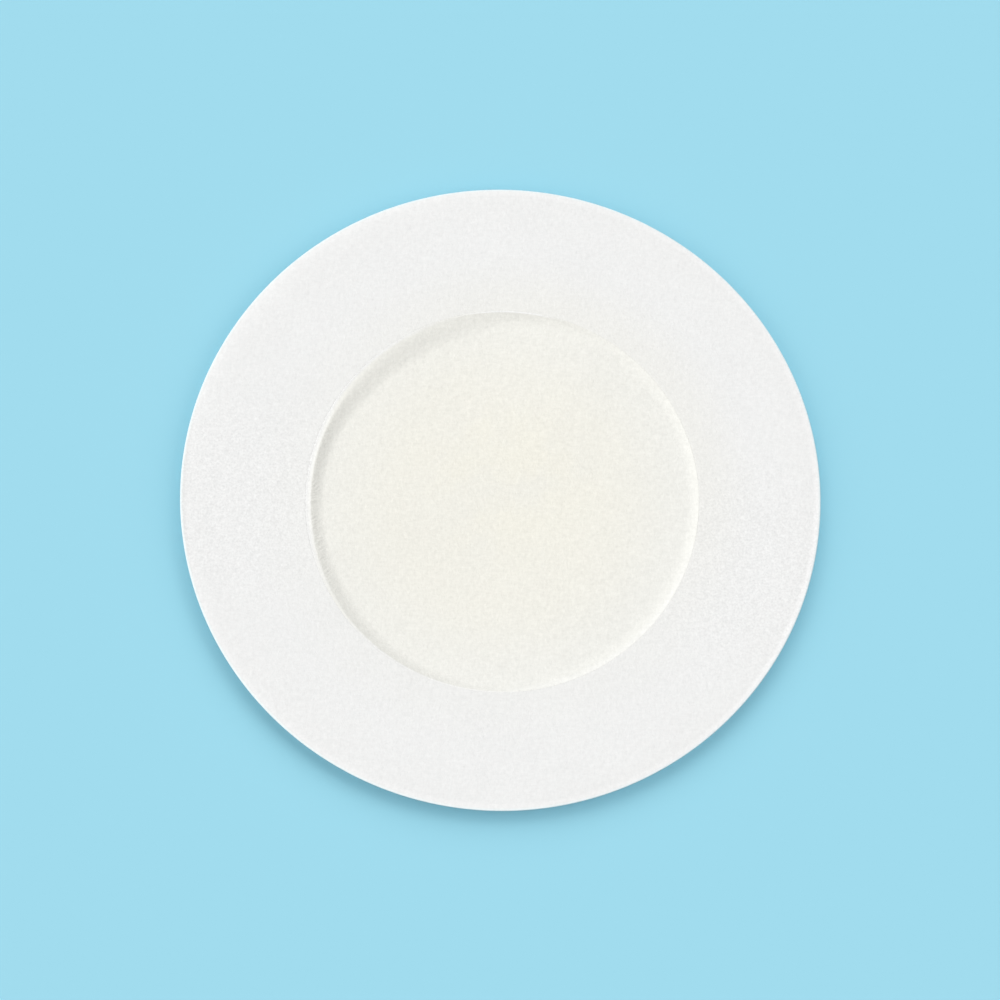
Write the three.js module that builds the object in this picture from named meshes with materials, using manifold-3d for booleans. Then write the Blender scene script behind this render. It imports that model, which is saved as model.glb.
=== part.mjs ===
// Round anti-itch patch, lying skin side up.
// A white adhesive ring frames a cream medicated pad, and a thin backing sheet closes both from below.
// Millimetres, +Z up. The origin is the centre of the underside of the backing sheet.

import * as THREE from "three";
import { mergeVertices } from "three/addons/utils/BufferGeometryUtils.js";
import Module from "manifold-3d";

// Adhesive ring: its window for the pad and the border that holds to the skin
const windowDiameter = 23.35;
const borderWidth = 7.325;
const ringThickness = 0.75;
// The window was punched a little off the centre of the patch
const windowShiftX = 0.13;
const windowShiftY = -0.19;
// The window's upper edge is broken by a small radius
const windowEdgeRadius = 0.04;
// Die cutting presses the outer edge down over this width, and leaves this radius at the cut
const edgeFall = 0.03;
const edgeFallWidth = 1.1;
const cutEdgeRadius = 0.05;

// Backing sheet, with the small radius that the cutting die leaves underneath
const backingThickness = 0.25;
const backingEdgeRadius = 0.06;

// Medicated pad: a flat floor inside a raised bead, and a thin margin that lies under the ring
const padThickness = 0.45;
const padMarginWidth = 2.8;
const padMarginThickness = 0.25;
// The bead stands a little over the ring, and its rounded outer side goes down to the seam beside the window
const beadRise = 0.03;
const beadWidth = 1.1;
const beadCrestInset = 0.2;
const seamDepth = 0.04;

// Clearances of the pad: its bead in the window, and its margin in the rebate under the ring
const windowClearance = 0.05;
const rebateClearance = 0.15;

// How finely round shapes are drawn: flats in a full turn, steps of a curve in a profile
// (an arc gets twice as many), and steps of the bead's slope
const turnSegments = 120;
const profileSteps = 2;
const slopeSteps = 8;
// How far a cutting tool runs past the faces that it cuts
const cutterOverrun = 1;

const windowRadius = windowDiameter / 2;
const patchRadius = windowRadius + borderWidth;
const beadRadius = windowRadius - windowClearance;
const marginRadius = windowRadius + padMarginWidth;
const rebateRadius = marginRadius + rebateClearance;
const beadTop = ringThickness + beadRise;
const seamHeight = ringThickness - seamDepth;
const crestRadius = beadRadius - beadCrestInset;

const colours = {
  ring: 0xf2f2f1,
  pad: 0xf4f2e7,
  backing: 0xf1f1ee,
};

const wasm = await Module();
wasm.setup();

// Turns a profile of (radius, height) points about the Z axis into a closed solid.
function turned(profile) {
  const points = profile.getPoints(profileSteps);
  const geometry = new THREE.LatheGeometry(points, turnSegments);
  geometry.rotateX(Math.PI / 2);
  return geometry;
}

// Gives a turned geometry to the library that joins and cuts solids.
function solidFrom(geometry) {
  const bare = geometry.clone();
  bare.deleteAttribute("normal");
  bare.deleteAttribute("uv");
  const merged = mergeVertices(bare);
  return new wasm.Manifold(
    new wasm.Mesh({
      numProp: 3,
      vertProperties: merged.attributes.position.array,
      triVerts: new Uint32Array(merged.index.array),
    }),
  );
}

function geometryFrom(solid) {
  const mesh = solid.getMesh();
  const geometry = new THREE.BufferGeometry();
  geometry.setAttribute("position", new THREE.BufferAttribute(mesh.vertProperties, 3));
  geometry.setIndex(new THREE.BufferAttribute(mesh.triVerts, 1));
  geometry.computeVertexNormals();
  return geometry;
}

function sheetMaterial(colour) {
  return new THREE.MeshStandardMaterial({ color: colour, roughness: 0.95, metalness: 0 });
}

function namedMesh(name, geometry, colour) {
  const mesh = new THREE.Mesh(geometry, sheetMaterial(colour));
  mesh.name = name;
  return mesh;
}

// The blank of the ring before it is punched: a disc whose top falls away towards its rounded cut edge.
function ringBlank() {
  const shoulder = ringThickness - edgeFall;
  const roundStart = patchRadius - cutEdgeRadius;
  const fallStart = patchRadius - edgeFallWidth;
  const fallMiddle = (fallStart + roundStart) / 2;
  const profile = new THREE.Path();
  profile.moveTo(0, 0);
  profile.lineTo(patchRadius, 0);
  profile.lineTo(patchRadius, shoulder - cutEdgeRadius);
  profile.absarc(roundStart, shoulder - cutEdgeRadius, cutEdgeRadius, 0, Math.PI / 2);
  profile.quadraticCurveTo(fallMiddle, ringThickness, fallStart, ringThickness);
  profile.lineTo(0, ringThickness);
  return turned(profile);
}

// The punch that opens the window, flared at the top so that the window's upper edge is rounded.
function windowPunch() {
  const flareStart = ringThickness - windowEdgeRadius;
  const flareCentre = windowRadius + windowEdgeRadius;
  const profile = new THREE.Path();
  profile.moveTo(0, -cutterOverrun);
  profile.lineTo(windowRadius, -cutterOverrun);
  profile.lineTo(windowRadius, flareStart);
  profile.absarc(flareCentre, flareStart, windowEdgeRadius, Math.PI, Math.PI / 2, true);
  profile.lineTo(flareCentre, ringThickness + cutterOverrun);
  profile.lineTo(0, ringThickness + cutterOverrun);
  return turned(profile);
}

// The shallow step under the ring that takes the pad's margin.
function rebateCutter() {
  const profile = new THREE.Path();
  profile.moveTo(0, -cutterOverrun);
  profile.lineTo(rebateRadius, -cutterOverrun);
  profile.lineTo(rebateRadius, padMarginThickness);
  profile.lineTo(0, padMarginThickness);
  return turned(profile);
}

function adhesiveRing() {
  const punch = windowPunch().translate(windowShiftX, windowShiftY, 0);
  const rebate = rebateCutter().translate(windowShiftX, windowShiftY, 0);
  const ring = solidFrom(ringBlank()).subtract(solidFrom(punch)).subtract(solidFrom(rebate));
  const mesh = namedMesh("adhesive_ring", geometryFrom(ring), colours.ring);
  mesh.position.z = backingThickness;
  return mesh;
}

// The bead's inner side is an S-shaped slope from its crest down to the pad's floor.
function beadSlope() {
  const crest = new THREE.Vector2(crestRadius, beadTop);
  const foot = new THREE.Vector2(beadRadius - beadWidth, padThickness);
  const middle = (crest.x + foot.x) / 2;
  const slope = new THREE.CubicBezierCurve(
    crest,
    new THREE.Vector2(middle, crest.y),
    new THREE.Vector2(middle, foot.y),
    foot,
  );
  return slope.getPoints(slopeSteps).slice(1);
}

function medicatedPad() {
  const profile = new THREE.Path();
  profile.moveTo(0, 0);
  profile.lineTo(marginRadius, 0);
  profile.lineTo(marginRadius, padMarginThickness);
  profile.lineTo(beadRadius, padMarginThickness);
  profile.lineTo(beadRadius, seamHeight);
  profile.absellipse(crestRadius, seamHeight, beadCrestInset, beadTop - seamHeight, 0, Math.PI / 2);
  beadSlope().forEach((point) => profile.lineTo(point.x, point.y));
  profile.lineTo(0, padThickness);
  const mesh = namedMesh("medicated_pad", turned(profile), colours.pad);
  mesh.position.set(windowShiftX, windowShiftY, backingThickness);
  return mesh;
}

function backingSheet() {
  const profile = new THREE.Path();
  profile.moveTo(0, 0);
  profile.lineTo(patchRadius - backingEdgeRadius, 0);
  profile.absarc(patchRadius - backingEdgeRadius, backingEdgeRadius, backingEdgeRadius, -Math.PI / 2, 0);
  profile.lineTo(patchRadius, backingThickness);
  profile.lineTo(0, backingThickness);
  return namedMesh("backing_sheet", turned(profile), colours.backing);
}

const patch = new THREE.Group();
patch.name = "anti_itch_patch";
patch.add(backingSheet(), medicatedPad(), adhesiveRing());

export default patch;
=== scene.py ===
"""Looks of a round anti-itch patch that lies skin side up: a white nonwoven ring, a cream pad in its window
and a thin white backing. Lengths are millimetres until a mesh is finished, and metres after that."""

import math

import bmesh
import bpy
from mathutils import Matrix, Vector, noise


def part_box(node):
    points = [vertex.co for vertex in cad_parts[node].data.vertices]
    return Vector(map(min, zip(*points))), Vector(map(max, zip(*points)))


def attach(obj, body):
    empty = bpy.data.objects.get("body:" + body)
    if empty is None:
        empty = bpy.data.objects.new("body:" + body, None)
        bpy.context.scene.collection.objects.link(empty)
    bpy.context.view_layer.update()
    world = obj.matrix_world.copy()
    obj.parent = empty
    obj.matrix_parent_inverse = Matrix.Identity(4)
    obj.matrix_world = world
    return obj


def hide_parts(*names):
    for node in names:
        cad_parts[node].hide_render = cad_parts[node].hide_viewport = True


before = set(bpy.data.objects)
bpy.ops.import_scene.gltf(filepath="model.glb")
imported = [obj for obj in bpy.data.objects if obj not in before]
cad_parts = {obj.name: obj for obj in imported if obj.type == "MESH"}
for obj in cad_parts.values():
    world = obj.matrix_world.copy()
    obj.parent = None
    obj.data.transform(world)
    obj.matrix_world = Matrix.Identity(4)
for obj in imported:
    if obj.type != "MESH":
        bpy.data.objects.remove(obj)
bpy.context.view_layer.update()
patch_pieces = bpy.data.collections.new("patch_pieces")
surface = bpy.data.collections.new("surface")

MM = 0.001

# Places of the pieces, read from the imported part
ring_low, ring_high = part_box("adhesive_ring")
pad_low, pad_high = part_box("medicated_pad")
backing_low, backing_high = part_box("backing_sheet")
PATCH_RADIUS = (ring_high.x - ring_low.x) / 2 / MM
PATCH_TOP = ring_high.z / MM
RING_BOTTOM = ring_low.z / MM
MARGIN_RADIUS = (pad_high.x - pad_low.x) / 2 / MM
WINDOW_CENTRE = Vector(((pad_low.x + pad_high.x) / 2 / MM, (pad_low.y + pad_high.y) / 2 / MM))

# Sizes that the part's boxes don't give
WINDOW_RADIUS = 11.675
# The window is longer by this at each end of its slanting long axis, and narrower by as much across it
OUT_OF_ROUND = 0.038
LONG_AXIS = math.radians(42)
WINDOW_EDGE_RADIUS = 0.008
CUT_EDGE_RADIUS = 0.05
EDGE_FALL = 0.03
EDGE_FALL_WIDTH = 1.1
# The fall is cut off before its end, which would lie this far outside
EDGE_FALL_BEYOND = 0.4
SEAM_DEPTH = 0.001
SEAM_GAP = 0.002
MARGIN_TOP = 0.5
PAD_FLOOR = 0.7
REBATE_RADIUS = MARGIN_RADIUS + 0.15
BACKING_EDGE_RADIUS = 0.06
# How far inside the outline the cut edge meets the surface below
UNDERCUT = 0.26

# The pad's raised border, measured inwards from the window. Its crest lies further in at the left,
# its slope is broadest at the upper left, and the floor is a little higher at the right
CREST_INSET = 0.03
CREST_SWING = 0.30
CREST_SWELL = 0.045
FOOT_INSET = 0.72
FOOT_LEFT = 0.40
FOOT_UPPER_LEFT = 0.55
FOOT_LOWER_RIGHT = 0.30
FLOOR_LIFT_LEFT = 0.03
FLOOR_LIFT_RIGHT = 0.13
FLOOR_DIP_UPPER_LEFT = 0.08
FLOOR_SWELL_LEFT = 0.08
BORDER_WIDTH = 1.95
# The slanting ridges in its left side: where their middle lies, their pitch along the window,
# the inset over which they slant by one pitch, their height and the roughness between them
RIDGE_INSET = 0.5
RIDGE_PITCH = 0.22
RIDGE_SLANT = 0.5
RIDGE_HEIGHT = 0.018
RIDGE_ROUGHNESS = 0.012

# The ring's relief fades out over this height below its upper face
RELIEF_FADE = 0.15
# What handling left on the ring: two pressed zones (middle x and y, half widths along x and y),
# an outer edge pressed down at the upper left and turned up at the left and right
EMBOSSED_ZONES = ((-14.8, -2.0, 4.0, 6.5), (14.8, -3.0, 4.0, 6.0))
LEATHER_HEIGHT = 0.008
EDGE_PRESS = 0.065
EDGE_PRESS_START = 0.93
EDGE_CURL = 0.034

# The camera looks down from the near side with a long lens, rolled a little
CAMERA_ELEVATION = math.radians(75.9)
CAMERA_ROLL = math.radians(5.52)
CAMERA_DISTANCE = 0.6
SENSOR = 36.0
IMAGE_SIDE_PX = 1000
PATCH_WIDTH_PX = 640.6
# Where the patch's middle stands in the picture, in pixels to the right of its middle and up
AIM_PX = (0.54, 2.10)

# Colours, as linear light
SURFACE_BLUE = (0.3564, 0.7157, 0.8550)
RING_WHITE = (0.872, 0.872, 0.864)
RING_WARM = (0.872, 0.866, 0.832)
# Painted highlight: a lighter band just inside the ring's cut edge
RING_EDGE_PAINTED_HIGHLIGHT = (0.902, 0.900, 0.893)
# Painted highlight on the ring's rounded cut edge and side, tinted with the surface's blue as painted reflected
# light
RING_CUT_PAINTED_HIGHLIGHT = (0.895, 0.945, 0.952)
# Painted highlight: a lighter line on the pad border's crest at the top and bottom, and a lighter lip at the
# left and lower right
CREST_PAINTED_HIGHLIGHT = (0.950, 0.948, 0.935)
PAD_CREAM = (0.878, 0.863, 0.792)
PAD_CREAM_DEEP = (0.888, 0.867, 0.777)
PAD_CREAM_PALE = (0.871, 0.866, 0.822)
BACKING_WHITE = (0.860, 0.860, 0.850)

# Zones of the finishes: their middles, from the patch's centre
RING_WARM_ZONE = (6.0, 8.0)
RING_PRESSED_ZONES = ((-15.5, -1.5), (15.0, -3.0))
# Middle of the stretch at the far left, where the edge is in shade, that the painted edge highlight leaves out
EDGE_HIGHLIGHT_GAP_ZONE = (-PATCH_RADIUS, -1.8)
PAD_MIDDLE = (0.4, 1.4)
PAD_PALE_ZONE = (11.0, -6.0)
# Middles on the pad's border: of the painted crest highlight at the top and bottom, of the painted lip
# highlight and coarser grain at the left, of the turn to the ring's white at the upper left, and of the painted
# lip highlight at the lower right
BORDER_TOP = (-0.6, 11.4)
BORDER_BOTTOM = (-3.0, -11.6)
BORDER_LEFT = (-11.6, 0.6)
BORDER_UPPER_LEFT = (-11.0, 3.0)
BORDER_LOWER_RIGHT = (8.0, -8.5)

# Lights: shares of the light on a level surface. The room lights all, and the lamps share the rest
LEVEL = 1.02
ROOM_SHARE = 0.30
SIDE_SHARE = 0.13


def make_camera():
    """A long lens that fits the patch's width to its width in pixels."""
    data = bpy.data.cameras.new("camera")
    data.sensor_fit = "HORIZONTAL"
    data.sensor_width = SENSOR
    seen_width = 2 * PATCH_RADIUS * MM * IMAGE_SIDE_PX / PATCH_WIDTH_PX
    data.lens = SENSOR * CAMERA_DISTANCE / seen_width
    data.shift_x = -AIM_PX[0] / IMAGE_SIDE_PX
    data.shift_y = -AIM_PX[1] / IMAGE_SIDE_PX
    camera = bpy.data.objects.new("camera", data)
    target = Vector((0, 0, (PATCH_TOP - EDGE_FALL - CUT_EDGE_RADIUS) * MM))
    away = Vector((0, -math.cos(CAMERA_ELEVATION), math.sin(CAMERA_ELEVATION)))
    tilt = Matrix.Rotation(math.pi / 2 - CAMERA_ELEVATION, 4, "X")
    roll = Matrix.Rotation(CAMERA_ROLL, 4, "Z")
    camera.matrix_world = Matrix.Translation(target + CAMERA_DISTANCE * away) @ tilt @ roll
    bpy.context.scene.collection.objects.link(camera)
    bpy.context.scene.camera = camera


class Term:
    """A value, colour or shader in a tree of nodes. Python's operators on values add the Math nodes."""

    def __init__(self, nodes, socket):
        self.nodes = nodes
        self.socket = socket

    def math(self, operation, *others):
        made = self.nodes.node("ShaderNodeMath", {"operation": operation})
        for socket, value in zip(made.inputs, (self, *others)):
            self.nodes.plug(socket, value)
        return Term(self.nodes, made.outputs[0])

    def __add__(self, other):
        return self.math("ADD", other)

    def __sub__(self, other):
        return self.math("SUBTRACT", other)

    def __mul__(self, other):
        return self.math("MULTIPLY", other)

    def __rsub__(self, other):
        return self.math("MULTIPLY", -1.0).math("ADD", other)

    __radd__ = __add__
    __rmul__ = __mul__

    def smooth(self, low, high):
        """0 below low and 1 above high, with a soft step between. With low above high it falls."""
        made = self.nodes.node(
            "ShaderNodeMapRange",
            {"interpolation_type": "SMOOTHSTEP"},
            {"Value": self, "From Min": low, "From Max": high},
        )
        return Term(self.nodes, made.outputs["Result"])


class Nodes:
    """The nodes of a material or of the world, under construction."""

    def __init__(self, owner):
        owner.use_nodes = True
        self.tree = owner.node_tree
        self.tree.nodes.clear()

    def plug(self, socket, value):
        if isinstance(value, Term):
            self.tree.links.new(value.socket, socket)
        else:
            socket.default_value = value

    def node(self, kind, settings=None, inputs=None):
        """Any node: its type, its settings, and the values or links of its sockets."""
        made = self.tree.nodes.new(kind)
        for name, value in (settings or {}).items():
            setattr(made, name, value)
        for name, value in (inputs or {}).items():
            self.plug(made.inputs[name], value)
        return made

    def output(self, kind, shader):
        self.node(kind, {}, {"Surface": Term(self, shader.outputs[0])})


class Finish(Nodes):
    """The finish of one piece: a material with patterns that sit on the piece."""

    def __init__(self, name, roughness):
        self.material = bpy.data.materials.new(name)
        super().__init__(self.material)
        self.shader = self.node("ShaderNodeBsdfPrincipled", {}, {"Roughness": roughness})
        self.output("ShaderNodeOutputMaterial", self.shader)
        place = self.node("ShaderNodeTexCoord")
        self.place = Term(self, place.outputs["Object"])

    def noise(self, size, detail=2.0, stretch=(1, 1, 1), turn=0.0, **more):
        """Noise from 0 to 1 with patches about this many millimetres wide, stretched along the axes."""
        mapped = self.node(
            "ShaderNodeMapping",
            {"vector_type": "TEXTURE"},
            {"Vector": self.place, "Rotation": (0, 0, turn), "Scale": tuple(s * size * MM for s in stretch)},
        )
        made = self.node(
            "ShaderNodeTexNoise",
            {},
            {"Vector": Term(self, mapped.outputs[0]), "Scale": 1.0, "Detail": detail, **more},
        )
        return Term(self, made.outputs[0])

    def away_from(self, centre):
        """The distance in millimetres from an upright line through centre."""
        moved = self.node(
            "ShaderNodeVectorMath",
            {"operation": "SUBTRACT"},
            {0: self.place, 1: (centre[0] * MM, centre[1] * MM, 0)},
        )
        level = self.node(
            "ShaderNodeVectorMath",
            {"operation": "MULTIPLY"},
            {0: Term(self, moved.outputs[0]), 1: (1 / MM, 1 / MM, 0)},
        )
        length = self.node(
            "ShaderNodeVectorMath", {"operation": "LENGTH"}, {0: Term(self, level.outputs[0])}
        )
        return Term(self, length.outputs["Value"])

    def blend(self, share, low, high):
        """A colour from low to high by share."""
        made = self.node("ShaderNodeMix", {"data_type": "RGBA"}, {0: share})
        for socket, value in ((made.inputs[6], low), (made.inputs[7], high)):
            self.plug(socket, value if isinstance(value, Term) else (*value, 1))
        return Term(self, made.outputs[2])

    def shade(self, colour, amount):
        """A colour made lighter or darker by amount, around 1."""
        made = self.node("ShaderNodeVectorMath", {"operation": "SCALE"}, {0: colour, "Scale": amount})
        return Term(self, made.outputs[0])

    def bump(self, height, depth, below=None):
        """A bump whose height of 0 to 1 is depth millimetres."""
        inputs = {"Height": height, "Distance": depth * MM, "Strength": 1.0}
        if below is not None:
            inputs["Normal"] = below
        return Term(self, self.node("ShaderNodeBump", {}, inputs).outputs[0])

    def set(self, name, value):
        self.plug(self.shader.inputs[name], value)


FIBRE_TURNS = (0.35, 1.25, 2.2, 2.9)
THREAD_TURNS = (0.1, 0.1 + math.pi / 2)


def fibres(finish, width, length):
    """Crossing fibres: stretched noise laid down in several directions, the highest one showing."""
    heights = [
        finish.noise(width, 1.0, (length / width, 1, 1), turn, Distortion=0.6) for turn in FIBRE_TURNS
    ]
    top = heights[0]
    for height in heights[1:]:
        top = top.math("MAXIMUM", height)
    return top


def threads(finish, width, length):
    """Two crossing layers of short threads, lengthwise and across, from about -1 to 1."""
    along, across = (finish.noise(width, 1.0, (length / width, 1, 1), turn) for turn in THREAD_TURNS)
    return 2 * (along + across) - 2


def ring_finish():
    finish = Finish("ring_nonwoven", 0.92)
    inset = PATCH_RADIUS - finish.away_from((0, 0))
    from_middle = finish.away_from(WINDOW_CENTRE)
    warm_side = finish.away_from(RING_WARM_ZONE).smooth(19.0, 5.0)
    warm = from_middle.smooth(15.6, WINDOW_RADIUS) * (0.35 + 0.65 * warm_side)
    colour = finish.blend(warm, RING_WHITE, RING_WARM)
    # Painted highlight: a lighter band just inside the cut edge, left out at the far left
    painted_edge_highlight = inset.smooth(0.48, 0.27) * inset.smooth(0.08, 0.2)
    edge_highlight_gap = finish.away_from(EDGE_HIGHLIGHT_GAP_ZONE).smooth(4.5, 2.0)
    colour = finish.blend(painted_edge_highlight * (1 - edge_highlight_gap), colour, RING_EDGE_PAINTED_HIGHLIGHT)
    # Painted highlight on the rounded cut edge and side, bluish as painted reflected light from the surface
    colour = finish.blend(inset.smooth(0.16, 0.07), colour, RING_CUT_PAINTED_HIGHLIGHT)
    fine = fibres(finish, 0.05, 0.9)
    mottle = finish.noise(2.4, 3.0)
    left_zone, right_zone = (finish.away_from(zone).smooth(10.0, 2.5) for zone in RING_PRESSED_ZONES)
    grain = 0.10 * (finish.noise(0.26, 2.0) - 0.5) + 0.03 * threads(finish, 0.11, 0.4)
    grain = grain + 0.25 * (left_zone + right_zone) * (finish.noise(0.12, 1.0) - 0.5)
    amount = 0.974 + 0.09 * (fine - 0.5) + 0.04 * mottle + grain
    finish.set("Base Color", finish.shade(colour, amount))
    finish.set("Roughness", 0.84 + 0.14 * finish.noise(0.4, 2.0))
    pores = finish.bump(finish.noise(0.2, 3.0), 0.02)
    finish.set("Normal", finish.bump(fine, 0.02, pores))
    finish.set("Specular IOR Level", 0.3)
    return finish.material


def pad_finish():
    finish = Finish("pad_nonwoven", 0.94)
    radius = finish.away_from(WINDOW_CENTRE)
    inset = WINDOW_RADIUS - radius
    deep = finish.away_from(PAD_MIDDLE).smooth(8.5, 1.0) * finish.noise(3.2, 3.0).smooth(0.35, 0.65)
    pale_side = finish.away_from(PAD_PALE_ZONE).smooth(21.0, 8.0)
    top = finish.away_from(BORDER_TOP).smooth(3.6, 1.2)
    bottom = finish.away_from(BORDER_BOTTOM).smooth(7.5, 4.0)
    left = finish.away_from(BORDER_LEFT).smooth(5.5, 2.5)
    upper_left = finish.away_from(BORDER_UPPER_LEFT).smooth(12.0, 6.0)
    lower_right = finish.away_from(BORDER_LOWER_RIGHT).smooth(9.0, 4.0)
    # Painted highlight: a lighter line on the crest at the top and bottom, and a lighter lip at the left and
    # lower right
    crest_highlight_line = inset.smooth(0.12, 0.05) * top.math("MAXIMUM", 0.7 * bottom)
    lip_highlight = 0.5 * left * inset.smooth(0.34, 0.26) * inset.smooth(0.0, 0.24)
    lip_highlight = lip_highlight + 0.3 * lower_right * inset.smooth(0.5, 0.15)
    crest = crest_highlight_line.math("MAXIMUM", lip_highlight)
    at_seam = inset.smooth(0.3, 0.05)
    colour = finish.blend(deep, PAD_CREAM, PAD_CREAM_DEEP)
    colour = finish.blend(radius.smooth(6.0, 11.5) * (0.7 + 0.3 * pale_side), colour, PAD_CREAM_PALE)
    fine = fibres(finish, 0.06, 0.8)
    colour = finish.blend(0.85 * at_seam * upper_left, colour, RING_WHITE)
    colour = finish.blend(crest, colour, CREST_PAINTED_HIGHLIGHT)
    grain = 0.14 * (finish.noise(0.25, 2.0) - 0.5) + 0.04 * threads(finish, 0.11, 0.4)
    grain = grain + 0.26 * at_seam * left * (finish.noise(0.12, 1.0) - 0.5)
    amount = 0.980 + 0.08 * (fine - 0.5) + 0.03 * finish.noise(1.8, 3.0) + grain
    finish.set("Base Color", finish.shade(colour, amount))
    finish.set("Roughness", 0.86 + 0.12 * finish.noise(0.4, 2.0))
    pores = finish.bump(finish.noise(0.2, 3.0), 0.02)
    finish.set("Normal", finish.bump(fine, 0.02, pores))
    finish.set("Specular IOR Level", 0.3)
    return finish.material


def backing_finish():
    finish = Finish("backing_nonwoven", 0.9)
    fine = fibres(finish, 0.05, 1.2)
    amount = 0.96 + 0.04 * fine + 0.02 * finish.noise(2.0, 3.0)
    colour = finish.blend(finish.noise(1.1, 2.0), BACKING_WHITE, RING_WHITE)
    finish.set("Base Color", finish.shade(colour, amount))
    finish.set("Roughness", 0.8 + 0.16 * finish.noise(0.5, 2.0))
    finish.set("Normal", finish.bump(fine, 0.010))
    finish.set("Specular IOR Level", 0.3)
    return finish.material


# How finely the meshes are drawn
RING_STEPS = 960
RING_ROW = 0.1
WALL_ROW = 0.12
FLOOR_CELLS = 200
# How far the middle cells of a floor are drawn in, so that all come out about the same size
FLOOR_CELL_PULL = 0.86
# Radius of the one face in the middle of a hidden side
HUB_RADIUS = 0.5


def wave(x, y, size, layer, stretch=1.0, turn=0.0):
    """Smooth noise from -1 to 1 with waves about size long, and stretched along the direction of turn."""
    along = (x * math.cos(turn) + y * math.sin(turn)) / (size * stretch)
    across = (y * math.cos(turn) - x * math.sin(turn)) / size
    return noise.noise(Vector((along, across, 7.3 * layer)))


def bell(value, middle, width):
    return math.exp(-(((value - middle) / width) ** 2))


def turn_between(x, y, middle):
    """How far the direction of a point is from the direction middle, in degrees."""
    return abs((math.degrees(math.atan2(y, x)) - middle + 180) % 360 - 180)


def soft_step(value, low, high):
    share = min(1.0, max(0.0, (value - low) / (high - low)))
    return share * share * (3 - 2 * share)


def ring_relief(x, y):
    """Height in millimetres that pressing, handling and the die left on the ring's upper face."""
    radius = math.hypot(x, y)
    embossed = sum(
        bell(x, middle_x, half_x) * bell(y, middle_y, half_y)
        for middle_x, middle_y, half_x, half_y in EMBOSSED_ZONES
    )
    grain = 0.0035 * wave(x, y, 0.42, 1) + 0.003 * wave(x, y, 0.22, 2)
    strands = 0.003 * wave(x, y, 0.24, 3, 5, 0.15) + 0.003 * wave(x, y, 0.24, 4, 5, 1.65)
    leather = LEATHER_HEIGHT * wave(x, y, 0.3, 5)
    slow = 0.010 * wave(x, y, 4.5, 6)
    upper_left = 1 - soft_step(turn_between(x, y, 124), 18, 62)
    outer = max(0.0, (radius / PATCH_RADIUS - EDGE_PRESS_START) / (1 - EDGE_PRESS_START))
    press = -EDGE_PRESS * upper_left * outer**2
    turned_up = 1 - soft_step(turn_between(x, y, 186), 6, 22) * soft_step(turn_between(x, y, 344), 12, 38)
    curl = EDGE_CURL * turned_up * bell(radius, PATCH_RADIUS - 0.08, 0.14)
    beside = math.hypot(x - WINDOW_CENTRE.x, y - WINDOW_CENTRE.y) - WINDOW_RADIUS
    calm = soft_step(beside, 0.0, 0.4)
    return calm * (grain + strands + embossed * leather + slow) + press + curl


def pad_relief(x, y):
    """Height in millimetres of the grain and the soft unevenness of the pad's floor."""
    grain = 0.004 * wave(x, y, 0.45, 11) + 0.003 * wave(x, y, 0.22, 12)
    strands = 0.003 * wave(x, y, 0.26, 13, 5, 0.1) + 0.003 * wave(x, y, 0.26, 14, 5, 1.7)
    slow = 0.012 * wave(x, y, 4.0, 16)
    return grain + strands + slow


def arc(centre, radius, start, end, steps):
    """Points of an arc in a cross-section, from just after start to end, in degrees."""
    for step in range(1, steps + 1):
        angle = math.radians(start + (end - start) * step / steps)
        yield (centre[0] + radius * math.cos(angle), centre[1] + radius * math.sin(angle))


def straight(start, end, step):
    """Points along a line, from just after start to end, about step apart."""
    count = max(1, round(math.dist(start, end) / step))
    for k in range(1, count + 1):
        yield tuple(a + (b - a) * k / count for a, b in zip(start, end))


def boundary_loop(geometry):
    """The open edges of a mesh, or of what an extrusion has made."""
    return [e for e in geometry if isinstance(e, bmesh.types.BMEdge) and e.is_boundary]


def grow_along(bm, edges, form):
    """Extrudes a closed row of edges to the radius and height that form gives for each direction."""
    made = bmesh.ops.extrude_edge_only(bm, edges=edges)["geom"]
    for vert in (v for v in made if isinstance(v, bmesh.types.BMVert)):
        turn = math.atan2(vert.co.y, vert.co.x)
        radius, height = form(turn)
        vert.co = (radius * math.cos(turn), radius * math.sin(turn), height)
    return boundary_loop(made)


def grow(bm, edges, radius, height):
    return grow_along(bm, edges, lambda turn: (radius, height))


def finish_piece(bm, name, material, slot, *replaced):
    """Makes an object in metres of a mesh in millimetres, with its finish and its place in the frame."""
    bmesh.ops.remove_doubles(bm, verts=bm.verts, dist=1e-5)
    bmesh.ops.recalc_face_normals(bm, faces=bm.faces)
    bmesh.ops.scale(bm, vec=(MM, MM, MM), verts=bm.verts)
    mesh = bpy.data.meshes.new(name)
    bm.to_mesh(mesh)
    bm.free()
    mesh.shade_smooth()
    mesh.materials.append(material)
    piece = bpy.data.objects.new(name, mesh)
    bpy.context.scene.collection.objects.link(piece)
    patch_pieces.objects.link(piece)
    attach(piece, "root")
    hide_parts(*replaced)
    return piece


def slide_to_window(bm, full_radius):
    """Moves the window's side of a piece off the patch's centre and out of round, and leaves its outer edge."""
    for vert in bm.verts:
        radius = math.hypot(vert.co.x, vert.co.y)
        turn = math.atan2(vert.co.y, vert.co.x)
        share = 1 - soft_step(radius, full_radius, PATCH_RADIUS)
        stretch = 1 + share * OUT_OF_ROUND / WINDOW_RADIUS * math.cos(2 * (turn - LONG_AXIS))
        vert.co.x = stretch * vert.co.x + share * WINDOW_CENTRE.x
        vert.co.y = stretch * vert.co.y + share * WINDOW_CENTRE.y


def fall(radius):
    """How far the ring's upper face has fallen at that radius, towards its cut edge."""
    share = soft_step(radius, PATCH_RADIUS - EDGE_FALL_WIDTH, PATCH_RADIUS + EDGE_FALL_BEYOND)
    return EDGE_FALL * share


def cut_radius(height):
    """The radius of the slanting cut edge at that height."""
    return PATCH_RADIUS - UNDERCUT * (1 - height / PATCH_TOP)


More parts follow.
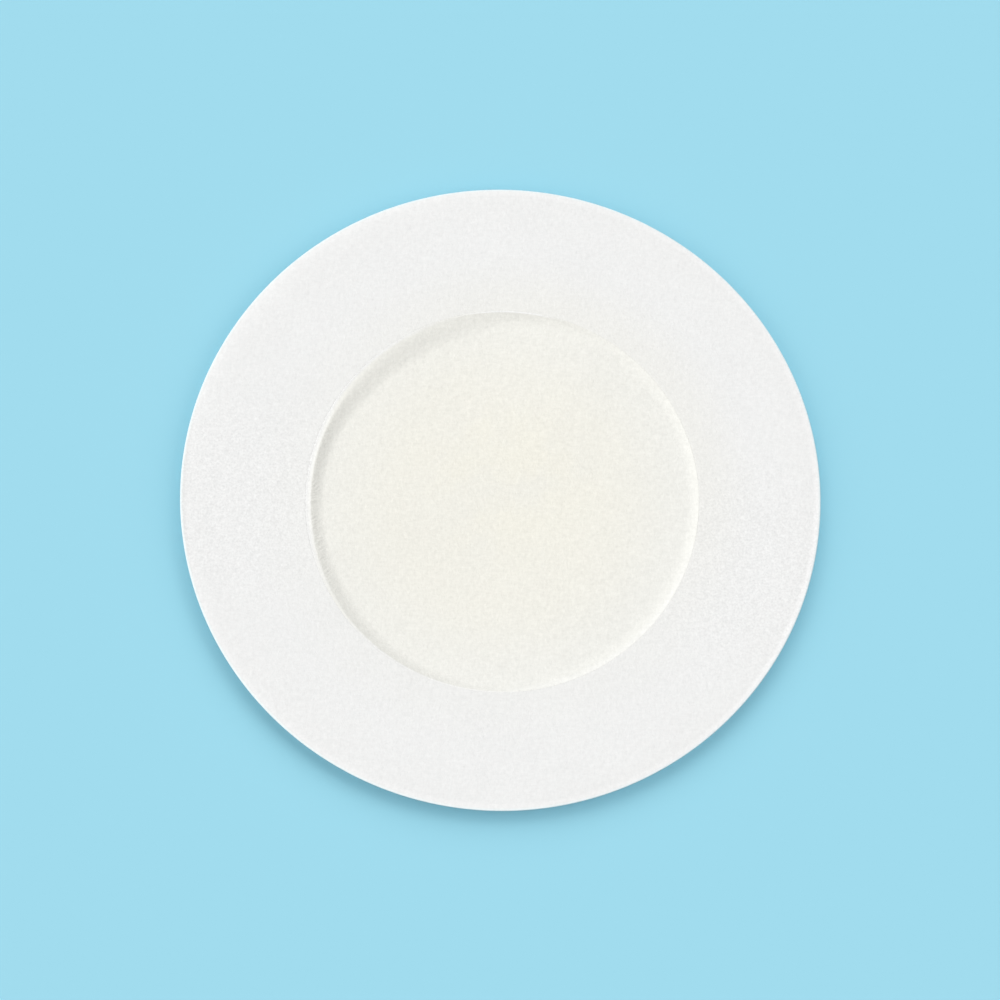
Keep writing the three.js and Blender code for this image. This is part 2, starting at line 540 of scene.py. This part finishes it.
def make_ring():
    round_start = PATCH_RADIUS - CUT_EDGE_RADIUS
    corner_height = PATCH_TOP - fall(round_start) - CUT_EDGE_RADIUS
    flare = (WINDOW_RADIUS + WINDOW_EDGE_RADIUS, PATCH_TOP - WINDOW_EDGE_RADIUS)
    face = [
        *straight((WINDOW_RADIUS, MARGIN_TOP), (WINDOW_RADIUS, flare[1]), RING_ROW),
        *arc(flare, WINDOW_EDGE_RADIUS, 180, 90, 4),
        *((r, z - fall(r)) for r, z in straight((flare[0], PATCH_TOP), (round_start, PATCH_TOP), RING_ROW)),
        *arc((round_start, corner_height), CUT_EDGE_RADIUS, 80, 0, 5),
        *straight((PATCH_RADIUS, corner_height), (cut_radius(RING_BOTTOM), RING_BOTTOM), WALL_ROW),
    ]
    under = [(REBATE_RADIUS, RING_BOTTOM), (REBATE_RADIUS, MARGIN_TOP), (WINDOW_RADIUS, MARGIN_TOP)]
    bm = bmesh.new()
    bmesh.ops.create_circle(bm, segments=RING_STEPS, radius=WINDOW_RADIUS)
    bmesh.ops.translate(bm, vec=(0, 0, MARGIN_TOP), verts=bm.verts)
    row = list(bm.edges)
    for radius, height in face + under:
        row = grow(bm, row, radius, height)
    slide_to_window(bm, REBATE_RADIUS)
    for vert in bm.verts:
        rise = soft_step(vert.co.z, MARGIN_TOP, PATCH_TOP - RELIEF_FADE)
        vert.co.z += rise * ring_relief(vert.co.x, vert.co.y)
    piece = finish_piece(bm, "ring_of_nonwoven", ring_finish(), "ring_nonwoven", "adhesive_ring")


def floor_disc(bm, radius, height):
    """A disc of even square cells, whose outermost row is a circle."""
    bmesh.ops.create_grid(bm, x_segments=FLOOR_CELLS, y_segments=FLOOR_CELLS, size=1)
    for vert in bm.verts:
        x, y = vert.co.x, vert.co.y
        ring = max(abs(x), abs(y))
        length = math.hypot(x, y)
        round_share = ring**2
        if length > 0:
            pull = (1 - round_share) * FLOOR_CELL_PULL + round_share * ring / length
            vert.co = (x * pull * radius, y * pull * radius, height)
        else:
            vert.co = (0, 0, height)
    return boundary_loop(bm.edges)


def degrees_of(turn):
    return math.degrees(turn) % 360


def between(degrees, start, full, last, end):
    """1 from full to last, and falling softly to 0 at start and end."""
    return soft_step(degrees, start, full) * (1 - soft_step(degrees, last, end))


def crest_inset(turn):
    """How far inside the window the border's crest lies in that direction."""
    return CREST_INSET + CREST_SWING * between(degrees_of(turn), 124, 150, 184, 240)


def crest_height(turn):
    """The crest stands up from the ring at the left, and is nearly level with it elsewhere."""
    return PATCH_TOP + CREST_SWELL * bell(degrees_of(turn), 178, 27)


def foot_inset(turn):
    """How far inside the window the border's slope meets the floor in that direction."""
    degrees = degrees_of(turn)
    left = FOOT_LEFT * between(degrees, 80, 110, 215, 265)
    upper_left = FOOT_UPPER_LEFT * bell(degrees, 130, 32)
    lower_right = FOOT_LOWER_RIGHT * bell(degrees, 320, 30)
    return FOOT_INSET + left + upper_left + lower_right


def slope_height(turn, share):
    """The form of the border's slope, 1 at its crest and 0 at its foot: a cove, or an S at the left."""
    curled = between(degrees_of(turn), 92, 130, 210, 252)
    steepest = 1 - 0.32 * soft_step(degrees_of(turn), 132, 170)
    return (1 - curled) * (1 - share) ** 2 + curled * (1 - soft_step(share**steepest, 0, 1))


def slope(share):
    """The border's inner slope in each direction: share is 0 at its crest and 1 at its foot."""

    def form(turn):
        inset = (1 - share) * crest_inset(turn) + share * foot_inset(turn)
        return WINDOW_RADIUS - inset, PAD_FLOOR + (crest_height(turn) - PAD_FLOOR) * slope_height(turn, share)

    return form


def shoulder(share):
    """The border's outer side in each direction: share is 0 at its crest and 1 at the seam with the ring."""

    def form(turn):
        inset = crest_inset(turn) * (1 - share) + SEAM_GAP * share
        seam = PATCH_TOP - SEAM_DEPTH
        return WINDOW_RADIUS - inset, seam + (crest_height(turn) - seam) * (1 - soft_step(share**0.6, 0, 1))

    return form


def floor_lift(x, y):
    """The pad's floor rises from the left to the right, dips at the upper left and swells at the far left."""
    degrees = degrees_of(math.atan2(y, x))
    left = between(degrees, 60, 100, 235, 300)
    lift = left * FLOOR_LIFT_LEFT + (1 - left) * FLOOR_LIFT_RIGHT
    lift += FLOOR_SWELL_LEFT * bell(degrees, 192, 19)
    lift -= FLOOR_DIP_UPPER_LEFT * bell(degrees, 115, 26)
    middle = (FLOOR_LIFT_LEFT + FLOOR_LIFT_RIGHT) / 2
    return middle + (lift - middle) * soft_step(math.hypot(x, y), 1.5, WINDOW_RADIUS - 1)


def slanting_ridges(x, y):
    """Fine slanting ridges that the press left in the border's left side."""
    inset = WINDOW_RADIUS - math.hypot(x, y)
    degrees = degrees_of(math.atan2(y, x))
    here = between(degrees, 145, 170, 200, 222) * bell(inset, RIDGE_INSET, 0.3)
    ridges = math.radians(degrees) * WINDOW_RADIUS / RIDGE_PITCH + inset / RIDGE_SLANT
    ridges += 0.9 * wave(x, y, 0.7, 22)
    height = RIDGE_HEIGHT * math.sin(math.tau * ridges) * (0.5 + 1.2 * wave(x, y, 0.4, 21))
    return here * (height + RIDGE_ROUGHNESS * wave(x, y, 0.16, 23))


def make_pad():
    slope_rows = 16
    shoulder_rows = 5
    bm = bmesh.new()
    row = floor_disc(bm, WINDOW_RADIUS - BORDER_WIDTH, PAD_FLOOR)
    bmesh.ops.subdivide_edges(bm, edges=row, cuts=1)
    row = boundary_loop(bm.edges)
    for k in range(slope_rows, -1, -1):
        row = grow_along(bm, row, slope(k / slope_rows))
    for k in range(1, shoulder_rows + 1):
        row = grow_along(bm, row, shoulder(k / shoulder_rows))
    profile = [
        (WINDOW_RADIUS - SEAM_GAP, MARGIN_TOP),
        (MARGIN_RADIUS, MARGIN_TOP),
        (MARGIN_RADIUS, RING_BOTTOM),
        (MARGIN_RADIUS / 2, RING_BOTTOM),
        (HUB_RADIUS, RING_BOTTOM),
    ]
    for radius, height in profile:
        row = grow(bm, row, radius, height)
    bmesh.ops.edgeloop_fill(bm, edges=row)
    for vert in bm.verts:
        x, y = vert.co.x, vert.co.y
        radius = math.hypot(x, y)
        if vert.co.z > MARGIN_TOP and radius < WINDOW_RADIUS - SEAM_GAP:
            calm = soft_step(WINDOW_RADIUS - radius, 0.0, 0.15)
            depth = min(1.0, (PATCH_TOP - vert.co.z) / (PATCH_TOP - PAD_FLOOR))
            if WINDOW_RADIUS - radius > crest_inset(math.atan2(y, x)):
                vert.co.z += depth * floor_lift(x, y)
            vert.co.z += calm * (pad_relief(x, y) + slanting_ridges(x, y))
    slide_to_window(bm, REBATE_RADIUS)
    piece = finish_piece(bm, "pad_of_nonwoven", pad_finish(), "pad_nonwoven", "medicated_pad")


def make_backing():
    bm = bmesh.new()
    edge_centre = (cut_radius(0) - BACKING_EDGE_RADIUS, BACKING_EDGE_RADIUS)
    row = floor_disc(bm, edge_centre[0], 0)
    profile = [
        *arc(edge_centre, BACKING_EDGE_RADIUS, -90, 0, 3),
        (cut_radius(RING_BOTTOM), RING_BOTTOM),
        (PATCH_RADIUS / 2, RING_BOTTOM),
        (HUB_RADIUS, RING_BOTTOM),
    ]
    for radius, height in profile:
        row = grow(bm, row, radius, height)
    bmesh.ops.edgeloop_fill(bm, edges=row)
    piece = finish_piece(bm, "backing_of_nonwoven", backing_finish(), "backing_nonwoven", "backing_sheet")


# The surface that the patch lies on
FLOOR_SIDE = 4.0
# Its lamps: bearing, elevation and spread in degrees, and the share of the lamps' light
SURFACE_LAMPS = (
    ("surface_far_light", 95.5, 43, 60, 0.43),
    ("surface_right_light", 5.5, 37, 55, 0.28),
    ("surface_left_light", 185.5, 36, 55, 0.18),
    ("surface_near_light", 275.5, 45, 60, 0.11),
)


def seen_directly(nodes):
    """1 on what the camera sees, also by gloss or through glass, and 0 on what only lights the patch."""
    path = nodes.node("ShaderNodeLightPath")
    rays = ("Is Camera Ray", "Is Glossy Ray", "Is Transmission Ray")
    camera, gloss, glass = (Term(nodes, path.outputs[name]) for name in rays)
    return camera.math("MAXIMUM", gloss).math("MAXIMUM", glass)


def make_floor():
    bm = bmesh.new()
    bmesh.ops.create_grid(bm, x_segments=1, y_segments=1, size=FLOOR_SIDE / 2)
    mesh = bpy.data.meshes.new("floor")
    bm.to_mesh(mesh)
    bm.free()
    floor = bpy.data.objects.new("floor", mesh)
    bpy.context.scene.collection.objects.link(floor)
    surface.objects.link(floor)
    material = bpy.data.materials.new("pale_blue_surface")
    nodes = Nodes(material)
    colour = (*(share / LEVEL for share in SURFACE_BLUE), 1)
    matt = nodes.node("ShaderNodeBsdfDiffuse", {}, {"Color": colour})
    nodes.output("ShaderNodeOutputMaterial", matt)
    mesh.materials.append(material)


def make_world():
    """A white room that lights the patch, and the surface's blue where the camera looks past it."""
    world = bpy.data.worlds.new("soft_room")
    nodes = Nodes(world)
    room = nodes.node("ShaderNodeBackground", {}, {"Color": (1, 1, 1, 1), "Strength": LEVEL * ROOM_SHARE})
    seen = nodes.node("ShaderNodeBackground", {}, {"Color": (*SURFACE_BLUE, 1)})
    lights, shows = (Term(nodes, each.outputs[0]) for each in (room, seen))
    mixed = nodes.node("ShaderNodeMixShader", {}, {0: seen_directly(nodes), 1: lights, 2: shows})
    nodes.output("ShaderNodeOutputWorld", mixed)
    bpy.context.scene.world = world


def make_sun(name, bearing, elevation, spread, share, lit):
    """A soft lamp in the direction bearing, counter-clockwise from +X, with a share of the light on lit."""
    data = bpy.data.lights.new(name, "SUN")
    data.angle = math.radians(spread)
    data.energy = math.pi * LEVEL * share / math.sin(math.radians(elevation))
    lamp = bpy.data.objects.new(name, data)
    lamp.rotation_euler = (0, math.radians(90 - elevation), math.radians(bearing))
    lamp.light_linking.receiver_collection = lit
    bpy.context.scene.collection.objects.link(lamp)


make_camera()
make_ring()
make_pad()
make_backing()
make_floor()
make_world()
make_sun("side_light", 171, 28, 20, SIDE_SHARE, patch_pieces)
make_sun("top_light", 171, 74, 90, 1 - ROOM_SHARE - SIDE_SHARE, patch_pieces)
for name, bearing, elevation, spread, share in SURFACE_LAMPS:
    make_sun(name, bearing, elevation, spread, share * (1 - ROOM_SHARE), surface)
bpy.context.scene.view_settings.view_transform = "Standard"
